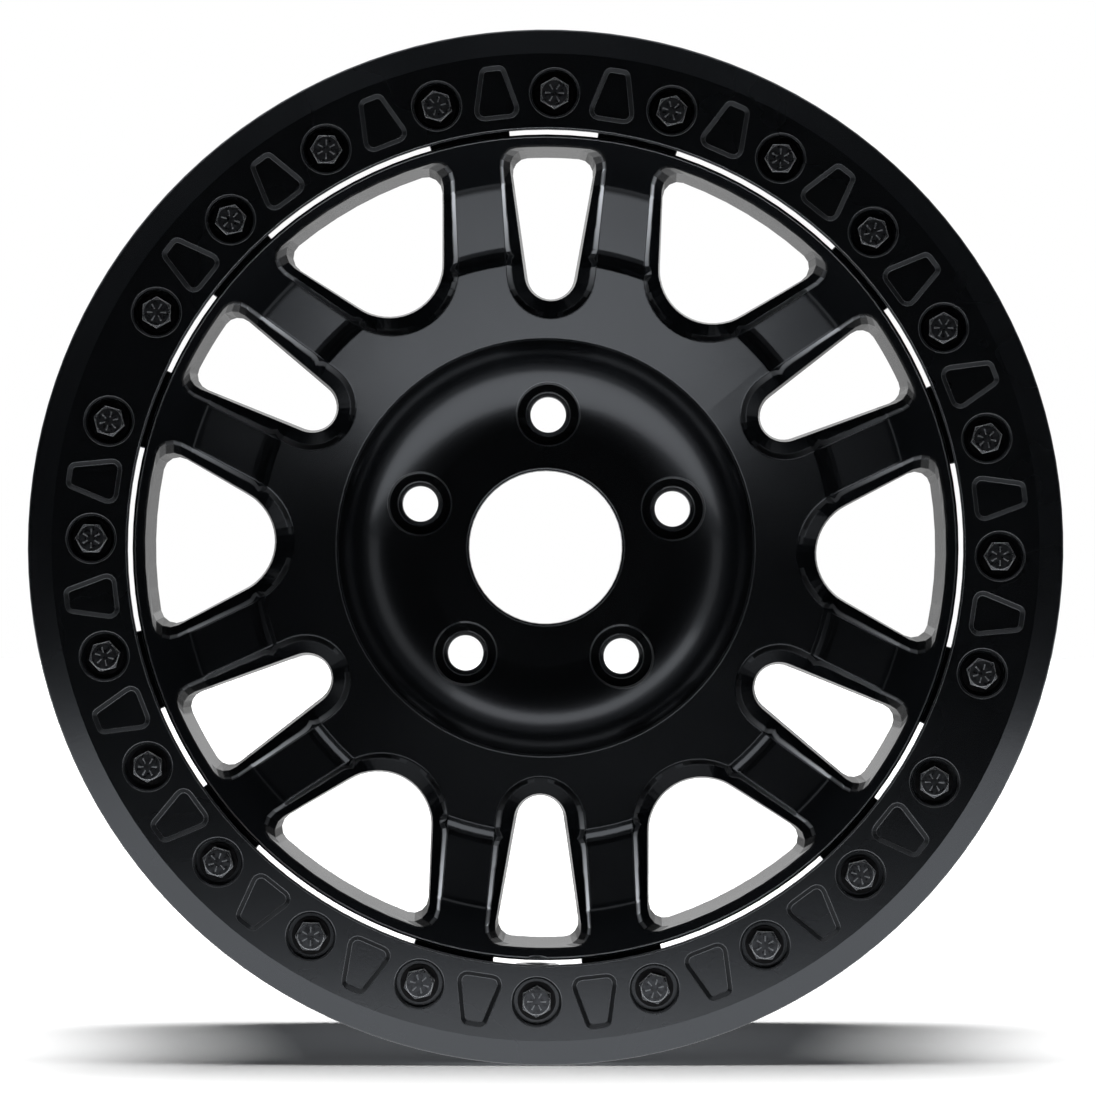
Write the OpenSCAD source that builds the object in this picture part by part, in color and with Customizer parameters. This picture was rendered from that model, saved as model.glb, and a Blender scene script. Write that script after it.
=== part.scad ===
// Off-road beadlock wheel, 17 x 8.5 inch, five lug holes on a 127 mm circle.
// A cast wheel carries its outer tyre bead on an open seat, and a bolted ring clamps the bead there.
// The axle lies along Y, the outboard face looks towards -Y and the valve hole points down, towards -Z.
// The origin is the centre of the hub's mounting face, in the rim's centre plane.

/* [Rim] */
// Bead seat diameter
bead_seat_d = 436.6; // [434:0.1:439]
// Width between the two planes that hold the tyre beads
rim_w = 215.9; // [208:0.1:224]
// Distance of the hub's mounting face outboard of the rim's centre plane
wheel_offset = 0; // [-6:0.5:6]
// Height of the inboard flange above the bead seat
flange_h = 17.3; // [15:0.1:19]
// Thickness of the inboard flange
flange_t = 7; // [5:0.1:9]
// Width of each tyre bead seat
bead_seat_w = 19; // [17:0.5:21]
// Slope of the inboard bead seat
bead_taper = 5; // [3:0.5:6]
// Height of the safety hump beside the inboard bead seat
hump_h = 1.3; // [0.8:0.1:2]
// Wall thickness of the barrel
barrel_t = 4.5; // [3.5:0.1:5]
// Depth of the drop centre below the bead seat
well_depth = 16.8; // [15.8:0.1:17.8]
// Length of the drop centre's flat floor
well_w = 18; // [14:0.5:22]
// Height of the shoulder that stops the outer bead
shoulder_h = 8; // [5:0.1:10]
// Thickness of that shoulder at its rim
shoulder_t = 5; // [4:0.1:7]

/* [Beadlock ring] */
// Radial width of the ring outside the bead seat
ring_lip_w = 19.825; // [17.7:0.005:21.7]
// Radial width of the ring inside the bead seat
ring_lap_w = 26.4; // [25.8:0.1:26.6]
// Thickness of the ring on its seat
ring_t = 13.5; // [12.5:0.1:15]
// Radial width of the cone around the ring's face
ring_bevel_w = 11.3; // [8:0.1:13]
// Slope of that cone
ring_bevel_angle = 18; // [12:0.5:24]
// Edge break along the ring's inner and outer edges
ring_edge = 0.8; // [0.5:0.1:1.2]
// Widening of the ring's inner wall from front to back
ring_draft = 0.8; // [0.4:0.1:1]
// Distance of the register that centres the ring inside the bead seat
register_inset = 4.3; // [3.3:0.1:5.3]
// Height of the register
register_h = 3; // [2:0.1:4]
// Radial clearance between the ring and its register
register_gap = 0.15; // [0.1:0.05:0.3]

/* [Ring bolts] */
// Number of bolts around the ring
bolt_count = 24; // [24:24]
// Distance of the bolt circle inside the bead seat
bolt_inset = 9.6; // [8.8:0.1:10.3]
// Thread diameter of a bolt
bolt_d = 7.94; // [7:0.01:8.5]
// Length of a bolt under its head
bolt_l = 22.2; // [20:0.1:24]
// Width across the flats of a bolt head
head_af = 12.7; // [11:0.1:13.5]
// Height of a bolt head
head_h = 5.2; // [4.5:0.1:5.6]
// Outside diameter of a washer
washer_d = 17.5; // [16:0.1:19]
// Thickness of a washer
washer_t = 1.6; // [1.2:0.1:2]
// Clearance of a bolt in its washer, on the diameter
washer_fit = 0.6; // [0.3:0.1:1]
// Clearance of a bolt in the ring, on the diameter
ring_hole_fit = 0.9; // [0.4:0.1:1.4]
// Clearance of a bolt in its tapped hole, on the diameter
thread_fit = 0.1; // [0.05:0.05:0.2]
// Depth of a tapped hole
tapped_depth = 18; // [17:0.5:20]
// Diameter of the counterbore around a bolt head
counterbore_d = 21.2; // [20:0.1:22]
// Depth of the counterbore
counterbore_depth = 7; // [6.5:0.1:7.5]
// Chamfer around the counterbore
counterbore_chamfer = 1; // [0.5:0.1:1.2]

/* [Ring pockets] */
// Width of the ring left inside a pocket
pocket_inner_rim = 5.7; // [5.1:0.1:7.1]
// Width of the ring left outside a pocket
pocket_outer_rim = 15.925; // [15.1:0.005:18.1]
// Width of a pocket along its inner edge
pocket_inner_w = 23.2; // [21:0.1:24]
// Width of a pocket along its outer edge
pocket_outer_w = 10.9; // [10:0.1:13]
// Radius of a pocket's inner corners
pocket_inner_round = 4.6; // [4:0.1:6]
// Radius of a pocket's outer corners
pocket_outer_round = 3.6; // [3:0.1:4.4]
// Width of the sloped wall around a pocket
pocket_wall = 2; // [1.2:0.1:2.4]
// Depth of a pocket
pocket_depth = 1.8; // [1:0.1:2.5]

/* [Hub] */
// Diameter of the centre bore
centre_bore_d = 73.1; // [70:0.1:78.2]
// Edge break at both ends of the centre bore
bore_chamfer = 1; // [0.5:0.1:2]
// Diameter of the lug circle
lug_circle_d = 127; // [125:0.1:128]
// Number of lug holes
lug_count = 5; // [5:5]
// Diameter of a lug hole
lug_hole_d = 17; // [15:0.1:18]
// Large diameter of a conical lug seat
lug_seat_d = 21; // [20:0.1:23]
// Whole angle of the conical lug seat
lug_seat_angle = 60; // [55:1:65]
// Height of the top of the lug seats above the mounting face
lug_seat_z = 15; // [13:0.5:18]
// Diameter of the socket pocket around a lug hole
lug_pocket_d = 30; // [28:0.1:31]
// Thickness of the hub
hub_t = 25; // [23:0.5:28]
// Width of the mounting face outside the lug circle
pad_rim = 14.5; // [13:0.5:16]
// Width of the flare from the mounting face to the back of the disc
pad_flare_w = 26; // [24:0.5:28]
// Diameter of the relief pockets in the mounting face
relief_d = 22; // [18:0.5:24]
// Depth of the relief pockets
relief_depth = 12; // [8:0.5:14]

/* [Face] */
// Radius of the flat floor of the hub bowl
bowl_floor_r = 55.5; // [52:0.5:58]
// Radius of the rim of the hub bowl
bowl_r = 97.6; // [95:0.1:100]
// Edge break around the rim of the bowl
bowl_edge = 0.9; // [0.5:0.1:1.5]
// Slope of the disc and of the spokes, down towards the hub
dish_angle = 24; // [21:0.5:26]
// Width of the disc from the bowl to the step down to the spokes
disc_w = 35.5; // [34:0.1:36.5]
// Width of the step
step_w = 4.1; // [3.8:0.1:5]
// Height of the step
step_h = 3.2; // [2.8:0.1:3.6]
// Radius of the hollow at the foot of the step
step_fillet = 7.8; // [6:0.1:8]
// Width of the ramp where the spokes turn up towards the hoop's edge
ramp_w = 20; // [18:0.1:22]
// Slope of that ramp
ramp_angle = 53; // [52:0.5:54]
// Radius of the hollow at the foot of the ramp
crease_fillet = 4.5; // [3:0.5:10]
// Gap between the hoop around the spokes and the ring
hoop_gap = 1.6; // [1.4:0.1:2.1]
// Distance of the hoop's edge below the ring's face
hoop_drop = 8; // [6:0.1:9]
// Edge break of the hoop
hoop_edge = 1.2; // [0.6:0.1:1.5]
// Depth of the groove between hoop and ring, below the ring's seat
groove_depth = 3; // [2:0.1:4]
// Thickness of the spokes along the axle
spoke_t = 19; // [17:0.5:22]

/* [Windows] */
// Break of a window's front edge
window_edge = 1; // [0.8:0.1:1.6]
// Depth of a window's sloped upper wall, below which the wall stands steep
window_lip = 7; // [5:0.1:8]
// Width of the hoop outside a window at the front, under the lip and at the back
window_rim = [5.4, 6, 8.3];
// Radius of a window's outer corners at the front, under the lip and at the back
window_corner_r = [7.5, 7.5, 7];
// Half the angle of a narrow window at its outer edge, at the same three heights
narrow_half = [7.65, 6.6, 6.24];
// Slope of each side of a narrow window, at the same three heights
narrow_taper = [4.7, 8.9, 9.3];
// Distance of a narrow window's inner end from the bowl, at the same three heights
narrow_root = [10.7, 18.1, 19.7];
// Half the angle of a wide window at its outer edge, at the same three heights
wide_half = [15.35, 13.95, 13.49];
// Slope of each side of a wide window, at the same three heights
wide_taper = [26.7, 29.1, 29.4];
// Distance of a wide window's inner end from the bowl, at the same three heights
wide_root = [20.9, 28.7, 30.3];
// Half the angle of the slot outside a narrow window
narrow_slot_half = 6.1; // [5:0.1:7]
// Half the angle of the slot outside a wide window
wide_slot_half = 12.75; // [11:0.05:13.5]
// Step between each wall of the groove and the slot below it
slot_step = 0.2; // [0.15:0.05:0.3]
// Lean of a slot's inner wall
slot_draft = 0.5; // [0.3:0.1:1]

/* [Valve] */
// Diameter of the valve hole
valve_hole_d = 11.5; // [11:0.1:12]
// Diameter of the boss around the valve hole
valve_boss_d = 20; // [18:0.5:20]
// Height of the boss above the barrel's inner wall
valve_boss_h = 1.2; // [0.8:0.1:2]
// Diameter of the relief in the hoop in front of the valve hole
valve_relief_d = 16; // [12:0.5:18]
// Depth of that relief
valve_relief_depth = 2; // [1:0.1:3]

/* [Hidden] */

$fn = 96;
REVOLVE_FN = 180;
ARC_STEPS = 4;
BOWL_STEPS = 12;
NOSE_STEPS = 9;
CORNER_STEPS = 4;
OUTER_STEPS = 3;
CUT = 1;

BLACK = "#17181a";
RING_BLACK = "#1d1e21";
BOLT_GREY = "#3a3b3e";
WASHER_GREY = "#2c2d30";

NARROW_ANGLES = [30 : 60 : 330];
WIDE_ANGLES = [0 : 60 : 300];
VALVE_ANGLE = -90;
BARE_PLACES = [157.5, 337.5];

// The turned faces start and end inside a spoke, clear of every hole and slot
SEAM_ANGLE = 41.1;

bead_r = bead_seat_d / 2;
ring_r = bead_r + ring_lip_w;
ring_bore_r = bead_r - ring_lap_w;
register_r = bead_r - register_inset;
mid_z = -wheel_offset;
seat_z = mid_z + rim_w / 2;
inboard_z = mid_z - rim_w / 2;
face_z = seat_z + ring_t;
hoop_r = ring_bore_r - hoop_gap;
hoop_z = face_z - hoop_drop;
groove_z = seat_z - groove_depth;
bolt_circle_r = bead_r - bolt_inset;
bolt_step = 360 / bolt_count;
washer_z = face_z - counterbore_depth;
head_z = washer_z + washer_t;

// Points on the front of the disc and spokes
crease_r = hoop_r - ramp_w;
step_top_r = bowl_r + disc_w;
step_root_r = step_top_r + step_w;
crease_z = hoop_z - (hoop_r - hoop_edge - crease_r) * tan(ramp_angle);
step_root_z = dish_z(step_root_r);
step_top_z = step_root_z + step_h;
bowl_rim_z = step_top_z - (step_top_r - bowl_r) * tan(dish_angle);

// Radii and heights of the barrel, from the outer bead to the inboard one
flange_inner_r = ring_bore_r + ring_draft + 0.5;
shoulder_z = seat_z - register_h - bead_seat_w;
shoulder_r = bead_r + shoulder_h;
well_r = bead_r - well_depth;
well_inner_r = well_r - barrel_t;
well_top_z = shoulder_z - shoulder_t - 10;
well_foot_z = well_top_z - well_w;
seat_end_r = bead_r - bead_seat_w * tan(bead_taper);
seat_end_z = inboard_z + bead_seat_w;
barrel_end_r = seat_end_r - barrel_t;
valve_z = well_top_z - well_w / 2 - 1;
back_corner_z = back_z(well_inner_r);
pad_r = lug_circle_d / 2 + pad_rim;
flare_r = pad_r + pad_flare_w;
slot_foot_z = back_corner_z - 5;

// Height of the spokes' front plane at a radius
function dish_z(r) = crease_z - (crease_r - r) * tan(dish_angle);

// Height of the spokes' back plane at a radius
function back_z(r) = dish_z(r) - spoke_t;

function unit(v) = v / norm(v);
function flat(p) = [p.x, p.y];
function polar(r, a) = r * [cos(a), sin(a)];
function turn_between(a, b) = let (d = b - a) d > 180 ? d - 360 : d < -180 ? d + 360 : d;

// Arc of radius size that rounds the corner p between its neighbours a and b, and fits between them
function corner_arc(a, p, b, size) =
    let (
        to_a = unit(a - p),
        to_b = unit(b - p),
        half = acos(to_a * to_b) / 2,
        r = min(size, 0.92 * min(norm(a - p), norm(b - p)) * tan(half)),
        centre = p + unit(to_a + to_b) * r / sin(half),
        start = p + to_a * r / tan(half) - centre,
        stop = p + to_b * r / tan(half) - centre,
        first = atan2(start.y, start.x),
        turn = turn_between(first, atan2(stop.y, stop.x))
    )
    [for (i = [0 : ARC_STEPS]) centre + polar(r, first + turn * i / ARC_STEPS)];

// Path with each corner [x, y, radius] rounded, or left sharp where its radius is 0
function rounded(path) = [
    for (i = [0 : len(path) - 1])
        let (
            before = path[(i + len(path) - 1) % len(path)],
            after = path[(i + 1) % len(path)]
        )
        each path[i].z == 0 ? [flat(path[i])] : corner_arc(flat(before), flat(path[i]), flat(after), path[i].z)
];

// Numbers in rising order, each once
function sorted(v) = len(v) < 2 ? v : concat(
    sorted([for (x = v) if (x < v[0]) x]),
    [v[0]],
    sorted([for (x = v) if (x > v[0]) x])
);

// Front of the wheel from the rim of the bowl to the hoop, as [radius, height]
face_path = rounded([
    [bowl_r, bowl_rim_z - bowl_edge, 0],
    [bowl_r + bowl_edge, bowl_rim_z + bowl_edge * tan(dish_angle), 0],
    [step_top_r, step_top_z, 0.5],
    [step_root_r, step_root_z, step_fillet],
    [crease_r, crease_z, crease_fillet],
    [hoop_r - hoop_edge, hoop_z, 0]
]);
function face_at(r) = lookup(r, face_path);

// Wall of the hub bowl, a quarter ellipse from its floor up to its rim
bowl_path = [
    for (i = [0 : BOWL_STEPS - 1])
        let (a = 90 * i / BOWL_STEPS)
        [
            bowl_floor_r + (bowl_r - bowl_floor_r) * sin(a),
            hub_t + (bowl_rim_z - bowl_edge - hub_t) * (1 - cos(a))
        ]
];

// Rest of the section: outside of the barrel, inboard end, inside of the barrel, back of the spokes, bore
back_path = rounded([
    [hoop_r, hoop_z - hoop_edge, 0],
    [hoop_r, groove_z, 0],
    [flange_inner_r, groove_z, 0],
    [flange_inner_r, seat_z, 0],
    [register_r, seat_z, 0],
    [register_r, seat_z - register_h, 0],
    [bead_r, seat_z - register_h, 1],
    [bead_r, shoulder_z, 2],
    [shoulder_r, shoulder_z - 1, 2],
    [shoulder_r, shoulder_z - shoulder_t, 2],
    [well_r, well_top_z, 6],
    [well_r, well_foot_z, 10],
    [seat_end_r - hump_h, seat_end_z + 16, 8],
    [seat_end_r + hump_h, seat_end_z + 5, 3],
    [seat_end_r, seat_end_z, 0],
    [bead_r, inboard_z, 3],
    [bead_r + flange_h, inboard_z, 2.5],
    [bead_r + flange_h, inboard_z - flange_t, 2.5],
    [barrel_end_r + 2, inboard_z - flange_t, 0],
    [barrel_end_r, inboard_z - flange_t + 2, 0],
    [barrel_end_r, seat_end_z + 10, 12],
    [well_inner_r, well_foot_z, 10],
    [well_inner_r, back_corner_z, 3],
    [flare_r, back_z(flare_r), 12],
    [pad_r + 2, 9, 5],
    [pad_r, 0, 0],
    [centre_bore_d / 2 + bore_chamfer, 0, 0],
    [centre_bore_d / 2, bore_chamfer, 0]
]);

wheel_section = concat(
    [[centre_bore_d / 2, hub_t - bore_chamfer], [centre_bore_d / 2 + bore_chamfer, hub_t]],
    bowl_path,
    face_path,
    back_path
);

// A window outline is [outer radius, half angle, side slope, nose radius, corner radius].
// It is symmetric about the X axis, with its nose towards the hub.
function line_of(w) = w[0] * sin(w[1] - w[2]);
function nose_round(w) = (line_of(w) + w[3] * sin(w[2])) / (1 - sin(w[2]));
function nose_centre(w) = w[3] + nose_round(w);
function side_normal(w) = polar(1, 90 + w[2]);
function side_direction(w) = polar(1, w[2]);
function corner_centre(w) =
    let (inside = line_of(w) - w[4])
    inside * side_normal(w) + sqrt((w[0] - w[4]) ^ 2 - inside ^ 2) * side_direction(w);
function side_start(w) = [nose_centre(w), 0] + nose_round(w) * side_normal(w);
function side_stop(w) = corner_centre(w) + w[4] * side_normal(w);

// A point [x, y, normal x, normal y] of the outline, for a share t of one of its four stretches
NOSE = 0;
SIDE = 1;
CORNER = 2;
OUTER = 3;
function outline_point(w, stretch, t) =
    let (
        q = corner_centre(w),
        q_angle = atan2(q.y, q.x),
        angle = stretch == NOSE ? 180 - t * (90 - w[2])
            : stretch == SIDE ? 90 + w[2]
            : stretch == CORNER ? 90 + w[2] + t * (q_angle - 90 - w[2])
            : q_angle * (1 - t),
        p = stretch == NOSE ? [nose_centre(w), 0] + polar(nose_round(w), angle)
            : stretch == SIDE ? side_start(w) + t * (side_stop(w) - side_start(w))
            : stretch == CORNER ? q + polar(w[4], angle)
            : polar(w[0], angle)
    )
    [p.x, p.y, cos(angle), sin(angle)];

// Shares of the nose and of the side at which the outline crosses the corners of the face
function nose_crossings(w) = let (c = nose_centre(w), n = nose_round(w)) [
    for (p = face_path)
        let (k = (p.x ^ 2 - c ^ 2 - n ^ 2) / (2 * c * n))
        if (abs(k) < 1)
            let (t = (180 - acos(k)) / (90 - w[2]))
            if (t > 0.05 && t < 0.97) t
];
function side_crossings(w) =
    let (
        line = line_of(w),
        first = side_start(w) * side_direction(w),
        last = side_stop(w) * side_direction(w)
    )
    [
        for (p = face_path)
            let (t = (sqrt(max(p.x ^ 2 - line ^ 2, 0)) - first) / (last - first))
            if (t > 0.03 && t < 0.97) t
    ];
function spread(steps, crossings, gap) = sorted(concat(crossings, [
    for (i = [0 : steps - 1])
        let (t = i / steps)
        if (len([for (c = crossings) if (abs(c - t) < gap) c]) == 0) t
]));

// Stations [stretch, share] along one half of an outline, from its nose to its outer edge
function stations(w) = concat(
    [for (t = spread(NOSE_STEPS, nose_crossings(w), 0.05)) [NOSE, t]],
    [for (t = spread(2, side_crossings(w), 0.04)) [SIDE, t]],
    [for (i = [0 : CORNER_STEPS - 1]) [CORNER, i / CORNER_STEPS]],
    [for (i = [0 : OUTER_STEPS]) [OUTER, i / OUTER_STEPS]]
);

// Whole outline moved outwards by grow, at the given stations
function outline(w, at, grow) =
    let (half = [
        for (s = at)
            let (p = outline_point(w, s.x, s.y))
            [p[0] + grow * p[2], p[1] + grow * p[3]]
    ])
    concat([for (p = half) [p.x, -p.y]], [for (i = [len(half) - 2 : -1 : 1]) half[i]]);

// Solid skin through rings with the same number of points, the lowest ring first
module skin(rings) {
    n = len(rings[0]);
    last = len(rings) - 1;
    polyhedron(
        points = [for (ring = rings) each ring],
        faces = concat(
            [[for (i = [0 : n - 1]) i]],
            [
                for (k = [0 : last - 1], i = [0 : n - 1])
                    let (j = (i + 1) % n)
                    each [[k * n + i, (k + 1) * n + i, (k + 1) * n + j], [k * n + i, (k + 1) * n + j, k * n + j]]
            ],
            [[for (i = [n - 1 : -1 : 0]) last * n + i]]
        ),
        convexity = 4
    );
}

// Opening between two spokes, whose walls follow the face at their front edge and under their lip
module window(half, taper, root) {
    w = [for (i = [0 : 2]) [hoop_r - window_rim[i], half[i], taper[i], bowl_r + root[i], window_corner_r[i]]];
    at = stations(w[0]);
    base = outline(w[0], at, 0);
    rim = outline(w[0], at, window_edge + CUT);
    lip = outline(w[1], at, 0);
    rear = outline(w[2], at, 0);
    skin([
        [for (p = rear) [p.x, p.y, -CUT]],
        [for (p = rear) [p.x, p.y, back_z(norm(p)) - CUT]],
        [for (p = lip) [p.x, p.y, face_at(norm(p)) - window_lip]],
        [for (p = base) [p.x, p.y, face_at(norm(p)) - window_edge]],
        [for (p = rim) [p.x, p.y, face_at(norm(p)) + CUT]],
        [for (p = rim) [p.x, p.y, face_z]]
    ]);
}

module windows() {
    for (a = NARROW_ANGLES)
        rotate(a)
            window(narrow_half, narrow_taper, narrow_root);
    for (a = WIDE_ANGLES)
        rotate(a)
            window(wide_half, wide_taper, wide_root);
}

// Slot outside one window, from the groove through to the barrel, a hair narrower than the groove
module slot(half) {
    top_z = groove_z + CUT;
    rotate(-half)
        rotate_extrude(angle = 2 * half, $fn = REVOLVE_FN)
            polygon([
                [hoop_r + slot_step, top_z],
                [hoop_r + slot_step + slot_draft, slot_foot_z],
                [well_inner_r + 2 * slot_step, slot_foot_z],
                [flange_inner_r - slot_step, top_z]
            ]);
}

module slots() {
    for (a = NARROW_ANGLES)
        rotate(a)
            slot(narrow_slot_half);
    for (a = WIDE_ANGLES)
        rotate(a)
            slot(wide_slot_half);
}

module lug_hole() {
    seat_h = (lug_seat_d - lug_hole_d) / 2 / tan(lug_seat_angle / 2);
    translate([0, 0, -CUT])
        cylinder(d = lug_hole_d, h = hub_t + 2 * CUT);
    translate([0, 0, lug_seat_z - seat_h])
        cylinder(d1 = lug_hole_d, d2 = lug_seat_d, h = seat_h);
    translate([0, 0, lug_seat_z])
        cylinder(d = lug_pocket_d, h = bowl_rim_z);
}

module lug_holes() {
    for (i = [0 : lug_count - 1])
        rotate(90 + i * 360 / lug_count)
            translate([lug_circle_d / 2, 0, 0])
                lug_hole();
}

// Blind pockets in the mounting face, halfway between the lug holes
module pad_reliefs() {
    for (i = [0 : lug_count - 1])
        rotate(90 + (i + 0.5) * 360 / lug_count)
            translate([lug_circle_d / 2, 0, -CUT])
                cylinder(d = relief_d, h = relief_depth + CUT);
}

module at_bolts() {
    for (i = [0 : bolt_count - 1])
        rotate(i * bolt_step)
            translate([bolt_circle_r, 0, 0])
                children();
}

module tapped_holes() {
    at_bolts()
        translate([0, 0, seat_z - tapped_depth])
            cylinder(d = bolt_d + thread_fit, h = tapped_depth + CUT);
}

// Radial direction of the valve hole, with Z pointing away from the axle
module at_valve() {
    rotate(VALVE_ANGLE)
        translate([0, 0, valve_z])
            rotate([0, 90, 0])
                children();
}

module valve_boss() {
    at_valve()
        translate([0, 0, well_inner_r - valve_boss_h])
            cylinder(d = valve_boss_d, h = barrel_t);
}

module valve_hole() {
    at_valve()
        translate([0, 0, well_inner_r - valve_boss_h - CUT])
            cylinder(d = valve_hole_d, h = barrel_t + valve_boss_h + 2 * CUT);
}

module valve_relief() {
    rotate(VALVE_ANGLE)
        translate([hoop_r + valve_relief_d / 2 - 2.2, 0, hoop_z - valve_relief_depth])
            cylinder(d1 = valve_relief_d - 1, d2 = valve_relief_d + 1, h = valve_relief_depth + CUT);
}

// Puts the outboard side, modelled towards +Z, towards -Y
module outboard() {
    rotate([90, 0, 0])
        children();
}

module wheel() {
    color(BLACK)
        outboard()
            difference() {
                union() {
                    rotate(SEAM_ANGLE)
                        rotate_extrude($fn = REVOLVE_FN)
                            polygon(wheel_section);
                    valve_boss();
                }
                windows();
                slots();
                lug_holes();
                pad_reliefs();
                tapped_holes();
                valve_hole();
                valve_relief();
            }
}

ring_section = rounded([
    [ring_bore_r, face_z - ring_edge, 0],
    [ring_bore_r + ring_edge, face_z, 0],
    [ring_r - ring_bevel_w, face_z, 6],
    [ring_r, face_z - ring_bevel_w * tan(ring_bevel_angle), 1],
    [ring_r, seat_z - register_h, 1],
    [register_r + register_gap, seat_z - register_h, 0],
    [register_r + register_gap, seat_z, 0],
    [ring_bore_r + ring_draft, seat_z, 0]
]);

module bolt_passages() {
    at_bolts() {
        translate([0, 0, seat_z - CUT])
            cylinder(d = bolt_d + ring_hole_fit, h = ring_t);
        translate([0, 0, washer_z])
            cylinder(d = counterbore_d, h = counterbore_depth + CUT);
        translate([0, 0, face_z - counterbore_chamfer])
            cylinder(d1 = counterbore_d, d2 = counterbore_d + 4 * counterbore_chamfer, h = 2 * counterbore_chamfer);
    }
}

// Rounded outline of a ring pocket, moved inwards by inset
function pocket_outline(inset) =
    let (
        pocket_inner_r = ring_bore_r + pocket_inner_rim,
        pocket_outer_r = ring_r - pocket_outer_rim,
        slope = (pocket_inner_w - pocket_outer_w) / 2 / (pocket_outer_r - pocket_inner_r),
        side = inset * sqrt(1 + slope ^ 2),
        inner_x = pocket_inner_r + inset,
        outer_x = pocket_outer_r - inset,
        inner_y = pocket_inner_w / 2 - slope * inset - side,
        outer_y = pocket_outer_w / 2 + slope * inset - side
    )
    rounded([
        [inner_x, -inner_y, pocket_inner_round - inset],
        [outer_x, -outer_y, pocket_outer_round - inset],
        [outer_x, outer_y, pocket_outer_round - inset],
        [inner_x, inner_y, pocket_inner_round - inset]
    ]);

module pocket() {
    rise = 0.4;
    skin([
        [for (p = pocket_outline(pocket_wall)) [p.x, p.y, face_z - pocket_depth]],
        [for (p = pocket_outline(-rise * pocket_wall / pocket_depth)) [p.x, p.y, face_z + rise]]
    ]);
}

// Pockets halfway between the bolts, with two opposite places left bare
module pockets() {
    for (i = [0 : bolt_count - 1]) {
        a = (i + 0.5) * bolt_step;
        if (len([for (bare = BARE_PLACES) if (abs(bare - a) < 1) bare]) == 0)
            rotate(a)
                pocket();
    }
}

module beadlock_ring() {
    color(RING_BLACK)
        outboard()
            difference() {
                rotate_extrude($fn = REVOLVE_FN)
                    polygon(ring_section);
                bolt_passages();
                pockets();
            }
}

// Hexagon head bolt: the head's corners are turned off by a cone, and the shank ends in a chamfer
module bolt() {
    corner_d = head_af / cos(30);
    translate([0, 0, head_z])
        intersection() {
            cylinder(d = corner_d, h = head_h, $fn = 6);
            cylinder(d1 = corner_d + 2 * head_h / tan(30), d2 = head_af * 0.95, h = head_h);
        }
    translate([0, 0, head_z - bolt_l + bolt_d / 8])
        cylinder(d = bolt_d, h = bolt_l);
    translate([0, 0, head_z - bolt_l])
        cylinder(d1 = bolt_d * 0.75, d2 = bolt_d, h = bolt_d / 8);
}

module ring_bolts() {
    color(BOLT_GREY)
        outboard()
            at_bolts()
                bolt();
}

module bolt_washers() {
    color(WASHER_GREY)
        outboard()
            at_bolts()
                translate([0, 0, washer_z])
                    difference() {
                        cylinder(d = washer_d, h = washer_t);
                        translate([0, 0, -CUT])
                            cylinder(d = bolt_d + washer_fit, h = washer_t + 2 * CUT);
                    }
}

wheel();
beadlock_ring();
ring_bolts();
bolt_washers();
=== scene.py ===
import math
import bpy
import bmesh
from mathutils import Matrix, Vector


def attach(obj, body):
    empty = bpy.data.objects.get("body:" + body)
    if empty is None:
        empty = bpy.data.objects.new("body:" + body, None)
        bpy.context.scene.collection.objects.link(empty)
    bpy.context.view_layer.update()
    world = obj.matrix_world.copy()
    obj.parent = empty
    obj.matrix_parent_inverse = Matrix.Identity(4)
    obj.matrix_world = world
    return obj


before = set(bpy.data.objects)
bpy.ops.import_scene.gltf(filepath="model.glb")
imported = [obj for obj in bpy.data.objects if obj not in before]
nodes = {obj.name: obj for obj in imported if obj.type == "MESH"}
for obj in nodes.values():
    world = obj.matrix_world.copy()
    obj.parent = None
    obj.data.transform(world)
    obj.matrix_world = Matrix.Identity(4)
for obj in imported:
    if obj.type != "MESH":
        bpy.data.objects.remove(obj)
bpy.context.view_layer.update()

scene = bpy.context.scene

# Metres throughout. The axle is Y, and the wheel's face looks towards -Y.
FACE_Y = -0.12145           # front of the ring
RING_R = 0.238125           # outer radius of the ring
FLOOR_Z = -RING_R
ROLL = math.radians(1.13)   # the wheel has rolled this far, so camera, floor and light turn by it
LEVEL = Matrix.Rotation(-ROLL, 3, "Y")

FORWARD = (0.0, -1.0, 0.0)
ACROSS = (1.0, 0.0, 1.0)    # times a position, leaves the part of it across the axle
WHITE = (1, 1, 1, 1)
FALL = (1.0, 0.0)           # first and last value of a mask that ends over its range


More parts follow.
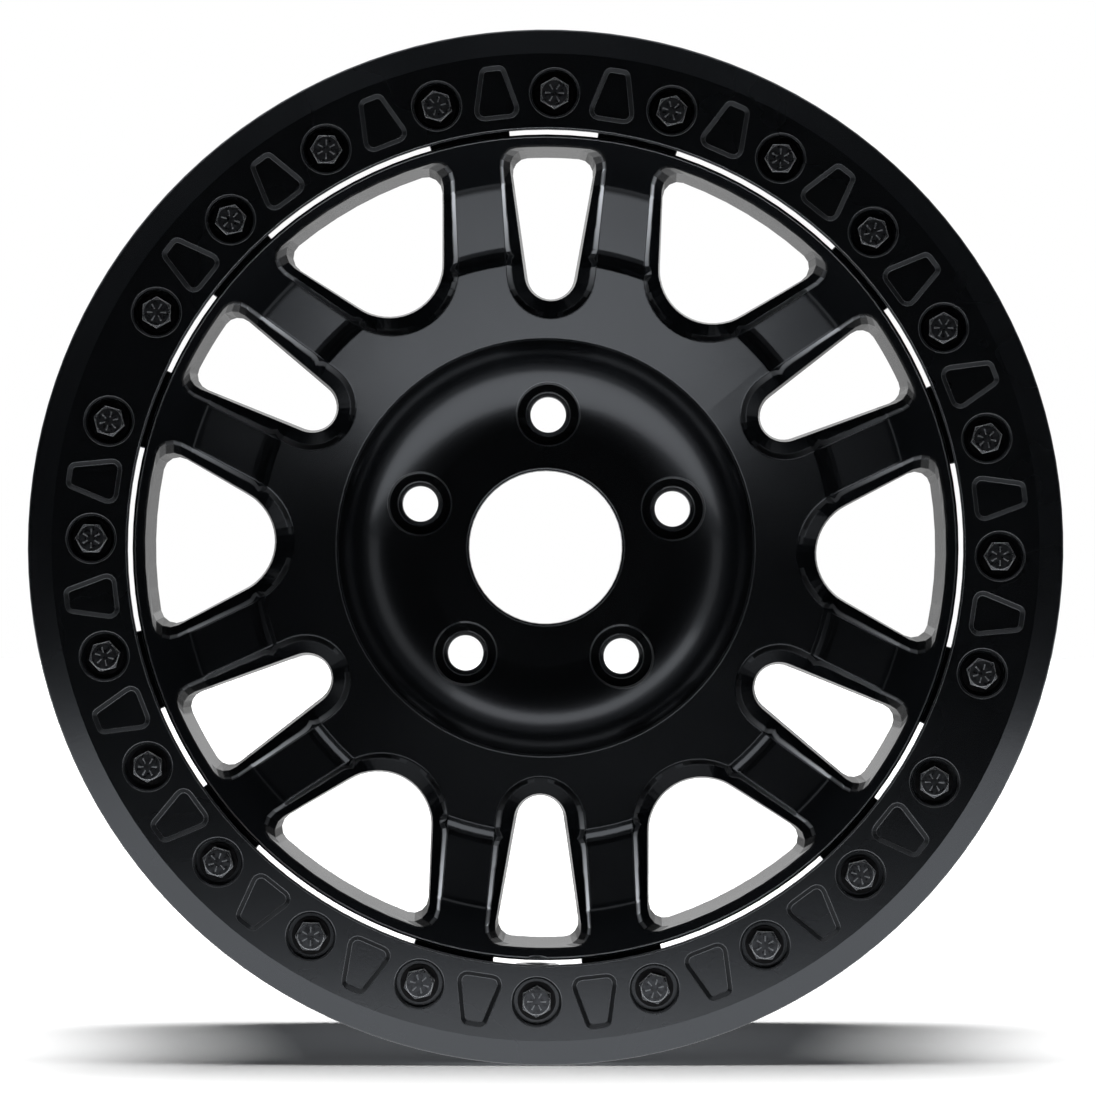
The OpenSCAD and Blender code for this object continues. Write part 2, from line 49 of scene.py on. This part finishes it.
class Shader:
    """The node tree of a material or world; its calls add a node and return the output."""

    def __init__(self, owner):
        owner.use_nodes = True
        self.tree = owner.node_tree
        self.tree.nodes.clear()

    def feed(self, socket, value):
        """Links a socket to another node's output, or sets it to a plain value."""
        if isinstance(value, bpy.types.NodeSocket):
            self.tree.links.new(value, socket)
        else:
            socket.default_value = value

    def add(self, kind, inputs=None):
        node = self.tree.nodes.new(kind)
        for name, value in (inputs or {}).items():
            self.feed(node.inputs[name], value)
        return node

    def calc(self, operation, a, b=0.0):
        node = self.add("ShaderNodeMath")
        node.operation = operation
        self.feed(node.inputs[0], a)
        self.feed(node.inputs[1], b)
        return node.outputs[0]

    def product(self, first, *others):
        for other in others:
            first = self.calc("MULTIPLY", first, other)
        return first

    def less(self, mask, share):
        """1 where the mask is 0, and 1 minus the share where it is 1."""
        return self.calc("SUBTRACT", 1.0, self.calc("MULTIPLY", mask, share))

    def other_side(self, side, least):
        """The other short side of a right triangle whose long side is 1."""
        square = self.calc("SUBTRACT", 1.0, self.calc("MULTIPLY", side, side))
        return self.calc("SQRT", self.calc("MAXIMUM", square, least))

    def ramp(self, value, span, first=0.0, last=1.0, kind="SMOOTHSTEP"):
        """Goes from first to last while the value crosses the span."""
        node = self.add("ShaderNodeMapRange", {
            "Value": value, "From Min": span[0], "From Max": span[1],
            "To Min": first, "To Max": last})
        node.interpolation_type = kind
        return node.outputs["Result"]

    def vector(self, operation, a, b=(0.0, 0.0, 0.0)):
        node = self.add("ShaderNodeVectorMath")
        node.operation = operation
        self.feed(node.inputs[0], a)
        self.feed(node.inputs[1], b)
        scalar = operation in ("LENGTH", "DOT_PRODUCT")
        return node.outputs["Value" if scalar else "Vector"]

    def scaled(self, a, scale):
        node = self.add("ShaderNodeVectorMath")
        node.operation = "SCALE"
        self.feed(node.inputs[0], a)
        self.feed(node.inputs["Scale"], scale)
        return node.outputs["Vector"]

    def blend(self, kind, factor, a, b):
        """Mix of two numbers, vectors or colours; the node has a pair of sockets for each."""
        node = self.add("ShaderNodeMix")
        node.data_type = kind
        slot = ("FLOAT", "VECTOR", "RGBA").index(kind)
        self.feed(node.inputs[0], factor)
        for side, value in (("A", a), ("B", b)):
            self.feed([i for i in node.inputs if i.name == side][slot], value)
        return [o for o in node.outputs if o.name == "Result"][slot]

    def noise(self, scale, detail):
        place = self.add("ShaderNodeTexCoord").outputs["Object"]
        node = self.add("ShaderNodeTexNoise", {"Vector": place, "Scale": scale, "Detail": detail})
        return node.outputs["Fac"]

    def rounded(self, radius):
        """The normal with its edges rounded, and 1 less as it turns from the mesh's own."""
        node = self.add("ShaderNodeBevel", {"Radius": radius})
        node.samples = 6
        normal = node.outputs["Normal"]
        true = self.add("ShaderNodeNewGeometry").outputs["True Normal"]
        return normal, self.vector("DOT_PRODUCT", normal, true)

    def relief(self, height, strength, normal):
        node = self.add("ShaderNodeBump", {
            "Strength": strength, "Distance": 0.0002, "Height": height, "Normal": normal})
        return node.outputs["Normal"]

    def mix_shader(self, factor, a, b):
        node = self.add("ShaderNodeMixShader")
        for socket, value in zip(node.inputs, (factor, a, b)):
            self.feed(socket, value)
        return node.outputs[0]

    def show(self, surface, kind="ShaderNodeOutputMaterial"):
        self.add(kind, {"Surface": surface})


def new_material(name):
    material = bpy.data.materials.new(name)
    return material, Shader(material)


def tone(color, factor):
    return (*[c * factor for c in color], 1)


# The wheel's front as [radius, height] corners, from the bowl's rim to the hoop
FACE_PATH = [
    (0.0976, 0.06116), (0.1331, 0.07696), (0.1372, 0.07376), (0.1703, 0.0885), (0.1893, 0.11371)]

# The bowl's wall is a quarter ellipse: where it starts, its width, and its height over its width
BOWL_FLAT_R = 0.0555
BOWL_W = 0.0421
BOWL_SLOPE = 0.8375

# Radii over which the wheel's masks start and end
BOWL_START, BOWL_END = (0.0540, 0.0545), (0.0969, 0.0972)
BOWL_RIM_END = (0.0985, 0.0995)
WINDOWS_START, WINDOWS_END = (0.1035, 0.1045), (0.187, 0.188)
SPOKE_RAMP_START, SPOKE_RAMP_END = (0.1665, 0.1690), (0.1890, 0.1894)
HOOP_START = (0.1880, 0.1885)
LINE_GAIN = (0.118, 0.165)      # the painted highlight line on the lips grows brighter outwards
CATCH_GAIN = (0.100, 0.188)     # and so do the painted highlights on the edges

# Depths below the wheel's front over which the window's wall and the painted highlight line start
# and end
WALL_START = (0.0001, 0.0004)
LINE_START, LINE_END = (0.0002, 0.0007), (0.0018, 0.0028)

# Radii and slope of the ring's masks
POCKETS_END = (0.2240, 0.2245)
CREASE_START, CREASE_END = (0.2243, 0.2246), (0.2290, 0.2294)
RING_LIP_END = (0.1925, 0.1945)
BEVEL_ANGLE = 18.0              # of the ring's outer bevel, in degrees

WALL_DARKENS = 0.85             # share of the gloss taken off window and pocket walls, as painted shade
# share of the gloss taken off the spokes' ramp, as painted shade
SPOKE_RAMP_DARKENS = 0.8


def wheel_places(s):
    """How the paint changes over the wheel: in the bowl, painted shade in the windows and on the
    spokes' ramp, painted highlights on the windows' lips and the edges.
    """
    geo = s.add("ShaderNodeNewGeometry").outputs
    position, true = geo["Position"], geo["True Normal"]
    split = s.add("ShaderNodeSeparateXYZ", {"Vector": position}).outputs
    across = s.vector("MULTIPLY", position, ACROSS)
    radius = s.vector("LENGTH", across)
    outward = s.vector("NORMALIZE", across)
    forward = s.vector("DOT_PRODUCT", true, FORWARD)
    # 1 on a wall that faces straight outwards, -1 on one that faces the axle
    radial = s.calc("DIVIDE", s.vector("DOT_PRODUCT", true, outward), s.other_side(forward, 1e-6))

    face = FACE_PATH[0][1]
    for (r0, z0), (r1, z1) in zip(FACE_PATH, FACE_PATH[1:]):
        face = s.calc("ADD", face, s.ramp(radius, (r0, r1), 0.0, z1 - z0, "LINEAR"))
    depth = s.calc("ADD", face, split["Y"])

    window = s.product(s.ramp(radius, WINDOWS_START), s.ramp(radius, WINDOWS_END, *FALL),
                       s.ramp(depth, WALL_START), s.ramp(forward, (-0.1, 0.0)))
    outer_wall = s.ramp(radial, (-0.96, -0.80), *FALL)
    side_wall = s.ramp(s.calc("ABSOLUTE", radial), (0.55, 0.95), *FALL)
    # The window walls, all but the outer one, lose gloss: painted shade
    black = s.product(window, s.calc("SUBTRACT", 1.0, outer_wall))

    # The painted highlight line on a window's rounded lip, brighter outwards and towards top and
    # bottom
    line = s.product(window, side_wall, s.ramp(depth, LINE_START), s.ramp(depth, LINE_END, *FALL))
    gain = s.calc("POWER", s.ramp(radius, LINE_GAIN, kind="LINEAR"), 1.5)
    gain = s.calc("ADD", s.calc("MULTIPLY", gain, 0.95), 0.05)
    height = s.calc("DIVIDE", s.calc("ABSOLUTE", split["Z"]), radius)
    line_highlight = s.product(line, gain, s.ramp(height, (0.0, 1.0), 0.45, 1.0, "LINEAR"))
    tilted = s.vector("NORMALIZE", s.vector("MULTIPLY", true, (0.2, 0.0, 1.0)))
    tilted = s.vector("NORMALIZE", s.vector("ADD", s.scaled(tilted, 0.75), (0.0, -0.85, 0.0)))

    # The bowl's exact normal, where the mesh's own is close to it
    share = s.ramp(radius, (BOWL_FLAT_R, BOWL_FLAT_R + BOWL_W), kind="LINEAR")
    slope = s.calc("DIVIDE", s.product(share, BOWL_SLOPE), s.other_side(share, 1e-5))
    curved = s.vector("NORMALIZE", s.vector("SUBTRACT", FORWARD, s.scaled(outward, slope)))
    bowl = s.product(s.ramp(s.vector("DOT_PRODUCT", curved, true), (0.985, 0.992)),
                     s.ramp(radius, BOWL_END, *FALL), s.ramp(radius, BOWL_START))

    # The spokes' ramp loses gloss: painted shade
    spoke_ramp = s.product(s.ramp(radius, SPOKE_RAMP_START), s.ramp(radius, SPOKE_RAMP_END, *FALL))
    return {
        "normals": [(bowl, curved), (line, tilted)],
        "painted_shade": s.product(s.less(black, WALL_DARKENS), s.less(spoke_ramp, SPOKE_RAMP_DARKENS)),
        # Painted highlights on the edges at the hoop and at the bowl's rim, brighter outwards
        "edges": s.calc("MAXIMUM", s.ramp(radius, HOOP_START),
                        s.ramp(radius, BOWL_RIM_END, 0.9, 0.0)),
        "catch": s.ramp(radius, CATCH_GAIN, 0.5, 1.0, "LINEAR"),
        "line": line,
        "line_highlight": line_highlight,
    }


def ring_places(s):
    """How the paint changes over the ring: painted shade on pocket walls, a crisp crease at the
    bevel, painted highlights on the inner edges.
    """
    geo = s.add("ShaderNodeNewGeometry").outputs
    across = s.vector("MULTIPLY", geo["Position"], ACROSS)
    radius = s.vector("LENGTH", across)
    outward = s.vector("NORMALIZE", across)
    forward = s.vector("DOT_PRODUCT", geo["True Normal"], FORWARD)
    inner = s.ramp(radius, POCKETS_END, *FALL)
    # Pocket walls lose gloss: painted shade
    black = s.product(inner, s.ramp(forward, (0.90, 0.96), 0.85, 0.0))

    # The rounding between face and bevel gets the normal of the one or the other
    bevel = math.radians(BEVEL_ANGLE)
    sloped = s.vector("ADD", s.scaled(outward, math.sin(bevel)), (0.0, -math.cos(bevel), 0.0))
    middle = math.cos(bevel / 2)
    on_bevel = s.ramp(forward, (middle - 0.002, middle + 0.002), *FALL)
    crisp = s.blend("VECTOR", on_bevel, FORWARD, sloped)
    crease = s.product(s.ramp(radius, CREASE_START), s.ramp(radius, CREASE_END, *FALL))
    return {
        "normals": [(crease, crisp)],
        "painted_shade": s.less(black, WALL_DARKENS),
        "edges": inner,
        # Painted highlights on the edges inside the pockets' radius, strongest at the inner lip
        "catch": s.ramp(radius, RING_LIP_END, 2.2, 1.0),
        "line": 0.0,
        "line_highlight": 0.0,
    }


def paint(name, color, places, rough, level, coat, coat_rough, bump, edge, catch):
    """Satin powder coat: fine orange-peel grain, slightly uneven gloss, painted highlights where
    edges and window lips turn to pale metal, and painted shade where walls lose gloss.
    """
    material, s = new_material(name)
    uneven = s.noise(14.0, 3.0)
    grain = s.noise(900.0, 2.0)
    shade = s.blend("RGBA", uneven, tone(color, 0.85), tone(color, 1.15))
    gloss = s.ramp(uneven, (0.35, 0.65), rough - 0.02, rough + 0.02, "LINEAR")

    at = places(s)
    normal, turned = s.rounded(edge)
    for mask, bent in at["normals"]:
        normal = s.blend("VECTOR", mask, normal, bent)
    normal = s.vector("NORMALIZE", normal)

    # Edges and the window lips turn to pale, smooth metal: painted highlights
    edges = s.product(s.ramp(turned, (0.93, 0.99), *FALL), at["edges"])
    bright = s.calc("MAXIMUM", edges, at["line"])
    painted_highlight = s.calc("MAXIMUM", s.product(edges, at["catch"], catch), at["line_highlight"])

    # Specular level and coat also get their plain value, for a reader that skips links
    shader = s.add("ShaderNodeBsdfPrincipled", {
        "IOR": 1.58,
        "Specular IOR Level": level,
        "Specular Tint": (0.85, 0.91, 1.0, 1),
        "Coat Weight": coat,
        "Coat Roughness": coat_rough,
        "Coat IOR": 1.5,
        "Coat Normal": normal,
        "Normal": s.relief(grain, bump, normal),
        "Metallic": bright,
        "Base Color": s.blend("RGBA", painted_highlight, shade, (0.90, 0.94, 1.0, 1)),
        "Roughness": s.blend("FLOAT", bright, gloss, 0.35),
    })
    # Specular level and coat drop on shaded walls as painted shade, and the level goes to 1 on the
    # painted highlights
    s.feed(shader.inputs["Specular IOR Level"],
           s.blend("FLOAT", bright, s.product(at["painted_shade"], level), 1.0))
    s.feed(shader.inputs["Coat Weight"], s.product(at["painted_shade"], coat))
    s.show(shader.outputs["BSDF"])
    return material


def steel(name, color, rough, metal, edge, catch):
    """Black-plated steel with slightly uneven plating and edges painted pale as a highlight."""
    material, s = new_material(name)
    spots = s.noise(420.0, 4.0)
    plating = s.blend("RGBA", s.ramp(spots, (0.38, 0.68), kind="LINEAR"),
                      tone(color, 0.75), tone(color, 1.35))
    normal, turned = s.rounded(edge)
    # Edges turn to pale metal: painted highlight
    rim = s.product(s.ramp(turned, (0.955, 0.998), *FALL), catch)
    shader = s.add("ShaderNodeBsdfPrincipled", {
        "Metallic": metal,
        "Base Color": s.blend("RGBA", rim, plating, (0.92, 0.96, 1.0, 1)),
        "Roughness": s.ramp(spots, (0.3, 0.7), rough - 0.07, rough + 0.07, "LINEAR"),
        "Normal": s.relief(spots, 0.12, normal),
    })
    s.show(shader.outputs["BSDF"])
    return material


wheel_paint = paint(
    "wheel_satin_black", (0.0042, 0.0050, 0.0062), wheel_places,
    rough=0.25, level=1.0, coat=0.35, coat_rough=0.12, bump=0.12, edge=0.0010, catch=0.7)
ring_paint = paint(
    "ring_satin_black", (0.0040, 0.0048, 0.0060), ring_places,
    rough=0.27, level=0.95, coat=0.3, coat_rough=0.14, bump=0.14, edge=0.0005, catch=0.35)
bolt_steel = steel("bolt_black_steel", (0.085, 0.090, 0.100),
                   rough=0.30, metal=0.85, edge=0.0007, catch=1.0)
mark_steel = steel("mark_black_steel", (0.26, 0.275, 0.30),
                   rough=0.40, metal=0.85, edge=0.0002, catch=0.5)
washer_steel = steel("washer_black_steel", (0.018, 0.018, 0.020),
                     rough=0.42, metal=0.8, edge=0.0004, catch=0.0)

for node_name, material in (("wheel", wheel_paint), ("beadlock_ring", ring_paint),
                            ("ring_bolts", bolt_steel), ("bolt_washers", washer_steel)):
    nodes[node_name].data.materials.clear()
    nodes[node_name].data.materials.append(material)

BOLTS = 24
BOLT_R = 0.2087                                     # radius of the bolt circle
HEAD_TOP_Y = -(0.12145 - 0.007 + 0.0016 + 0.0052)   # ring, counterbore, washer and head
BARS = 6
BAR_IN, BAR_OUT = 0.0016, 0.0046                    # distance of a bar's ends from the bolt's axis
BAR_IN_HALF_W, BAR_OUT_HALF_W = 0.00022, 0.00042
BAR_SINKS, BAR_RISES = 0.0002, 0.00018              # below and above the top of the head
BAR_TOP_SHARE = 0.72                                # size of a bar's top against its foot


def head_marks():
    """Raised radial bars on top of each bolt head."""
    bm = bmesh.new()
    up = Vector(FORWARD)
    for i in range(BOLTS):
        a = math.radians(360 / BOLTS * i)
        centre = Vector((BOLT_R * math.cos(a), HEAD_TOP_Y, BOLT_R * math.sin(a)))
        for k in range(BARS):
            b = a + math.radians(360 / BARS * (k + 0.5))
            out = Vector((math.cos(b), 0, math.sin(b)))
            side = Vector((-math.sin(b), 0, math.cos(b)))
            foot = [centre + out * BAR_IN + side * BAR_IN_HALF_W,
                    centre + out * BAR_OUT + side * BAR_OUT_HALF_W,
                    centre + out * BAR_OUT - side * BAR_OUT_HALF_W,
                    centre + out * BAR_IN - side * BAR_IN_HALF_W]
            middle = sum(foot, Vector()) / len(foot)
            low = [bm.verts.new(p - up * BAR_SINKS) for p in foot]
            top = [bm.verts.new(middle + (p - middle) * BAR_TOP_SHARE + up * BAR_RISES)
                   for p in foot]
            bm.faces.new(top)
            for j in range(4):
                bm.faces.new((low[j], low[(j + 1) % 4], top[(j + 1) % 4], top[j]))
            bm.faces.new(low[::-1])
    bmesh.ops.recalc_face_normals(bm, faces=bm.faces)
    me = bpy.data.meshes.new("bolt_head_marks")
    bm.to_mesh(me)
    bm.free()
    ob = bpy.data.objects.new("bolt_head_marks", me)
    scene.collection.objects.link(ob)
    me.materials.append(mark_steel)
    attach(ob, "root")


head_marks()


def floor_material():
    """Pale floor that takes the shadow, and that paint and steel mirror as plain white."""
    material, s = new_material("floor_white")
    ray = s.add("ShaderNodeLightPath").outputs
    pale = s.blend("RGBA", ray["Is Camera Ray"], (0.9, 0.9, 0.9, 1), (1.45, 1.45, 1.45, 1))
    shaded = s.add("ShaderNodeBsdfDiffuse", {"Color": pale})
    plain = s.add("ShaderNodeEmission", {"Color": WHITE, "Strength": 1.0})
    mirrored = s.calc("MAXIMUM", ray["Is Glossy Ray"], ray["Is Transmission Ray"])
    s.show(s.mix_shader(mirrored, shaded.outputs["BSDF"], plain.outputs["Emission"]))
    return material


def flag_material():
    material, s = new_material("flag_black")
    s.show(s.add("ShaderNodeBsdfDiffuse", {"Color": (0.004, 0.004, 0.004, 1)}).outputs["BSDF"])
    return material


def card_material(name, strength):
    material, s = new_material(name)
    glow = s.add("ShaderNodeEmission", {"Color": WHITE, "Strength": strength})
    s.show(glow.outputs["Emission"])
    return material


def stage_object(name, verts, faces, material):
    me = bpy.data.meshes.new(name)
    me.from_pydata([tuple(v) for v in verts], [], faces)
    me.validate()
    me.materials.append(material)
    ob = bpy.data.objects.new(name, me)
    scene.collection.objects.link(ob)
    return ob


def glossy_only(ob):
    ob.visible_camera = False
    ob.visible_diffuse = False
    ob.visible_shadow = False
    ob.visible_transmission = False
    ob.visible_volume_scatter = False
    ob.visible_glossy = True


def floor_plane(name, half_w, y0, y1, z, material):
    corners = [(-half_w, y0, z), (half_w, y0, z), (half_w, y1, z), (-half_w, y1, z)]
    return stage_object(name, [LEVEL @ Vector(v) for v in corners], [(0, 1, 2, 3)], material)


def band(name, polar, roll, radius, material):
    """Part of a sphere round the axle that shows in reflections only.

    Polar angles are from -Y, and roll angles from +X towards +Z, in degrees."""
    rows, steps = 8, 48
    verts, faces = [], []
    for j in range(rows + 1):
        p = math.radians(polar[0] + (polar[1] - polar[0]) * j / rows)
        for i in range(steps + 1):
            q = math.radians(roll[0] + (roll[1] - roll[0]) * i / steps)
            verts.append((radius * math.sin(p) * math.cos(q), -radius * math.cos(p),
                          radius * math.sin(p) * math.sin(q)))
    for j in range(rows):
        for i in range(steps):
            k = j * (steps + 1) + i
            faces.append((k, k + 1, k + steps + 2, k + steps + 1))
    glossy_only(stage_object(name, verts, faces, material))


floor_plane("floor", 9, -9, 9, FLOOR_Z, floor_material())

flag = flag_material()
grey_card = card_material("card_grey", 0.28)
rear_card = card_material("card_rear_grey", 0.5)
band("flag_front", (0, 57), (0, 360), 4.0, flag)
band("card_right", (57, 104), (-12, 58), 4.0, grey_card)
band("card_left", (57, 104), (152, 192), 4.0, grey_card)
band("flag_rear", (104, 146), (0, 360), 4.0, flag)
band("card_rear", (152, 176), (165, 375), 1.4, rear_card)
glossy_only(floor_plane("flag_floor", 4.2, -4.2, -0.57, FLOOR_Z + 0.002, flag))


def studio_world():
    """White to the camera and in reflections, and only a little fill light otherwise."""
    world = bpy.data.worlds.new("studio")
    scene.world = world
    s = Shader(world)
    ray = s.add("ShaderNodeLightPath").outputs
    seen = s.calc("MAXIMUM", ray["Is Camera Ray"], ray["Is Glossy Ray"])
    seen = s.calc("MAXIMUM", seen, ray["Is Transmission Ray"])
    fill = s.add("ShaderNodeBackground", {"Color": WHITE, "Strength": 0.03})
    white = s.add("ShaderNodeBackground", {"Color": WHITE, "Strength": 1.0})
    s.show(s.mix_shader(seen, fill.outputs[0], white.outputs[0]), "ShaderNodeOutputWorld")


def soft_sun(name, direction, angle, strength):
    """Even light from a wide patch of sky; it lights surfaces but shows in no reflection."""
    light = bpy.data.lights.new(name, "SUN")
    light.angle = math.radians(angle)
    light.energy = strength
    ob = bpy.data.objects.new(name, light)
    scene.collection.objects.link(ob)
    ob.rotation_euler = (-(LEVEL @ Vector(direction))).to_track_quat("-Z", "Y").to_euler()
    ob.visible_glossy = False


studio_world()
soft_sun("overhead_left", (-0.15, 0.09, 1), 34, 1.5)
soft_sun("overhead_right", (0.15, 0.09, 1), 34, 1.5)

CAMERA_DISTANCE = 2.510     # from the front of the ring

cam_data = bpy.data.cameras.new("camera")
cam_data.sensor_fit = "HORIZONTAL"
cam_data.sensor_width = 36.0
cam_data.lens = 179.6
cam_data.shift_x = 0.0022
cam_data.shift_y = -0.0006
cam_data.clip_start = 0.05
cam_data.clip_end = 60
cam = bpy.data.objects.new("camera", cam_data)
scene.collection.objects.link(cam)
cam.matrix_world = (Matrix.Translation((0, FACE_Y - CAMERA_DISTANCE, 0))
                    @ Matrix.Rotation(math.radians(90), 4, "X")
                    @ Matrix.Rotation(ROLL, 4, "Z"))
scene.camera = cam

scene.view_settings.view_transform = "Standard"
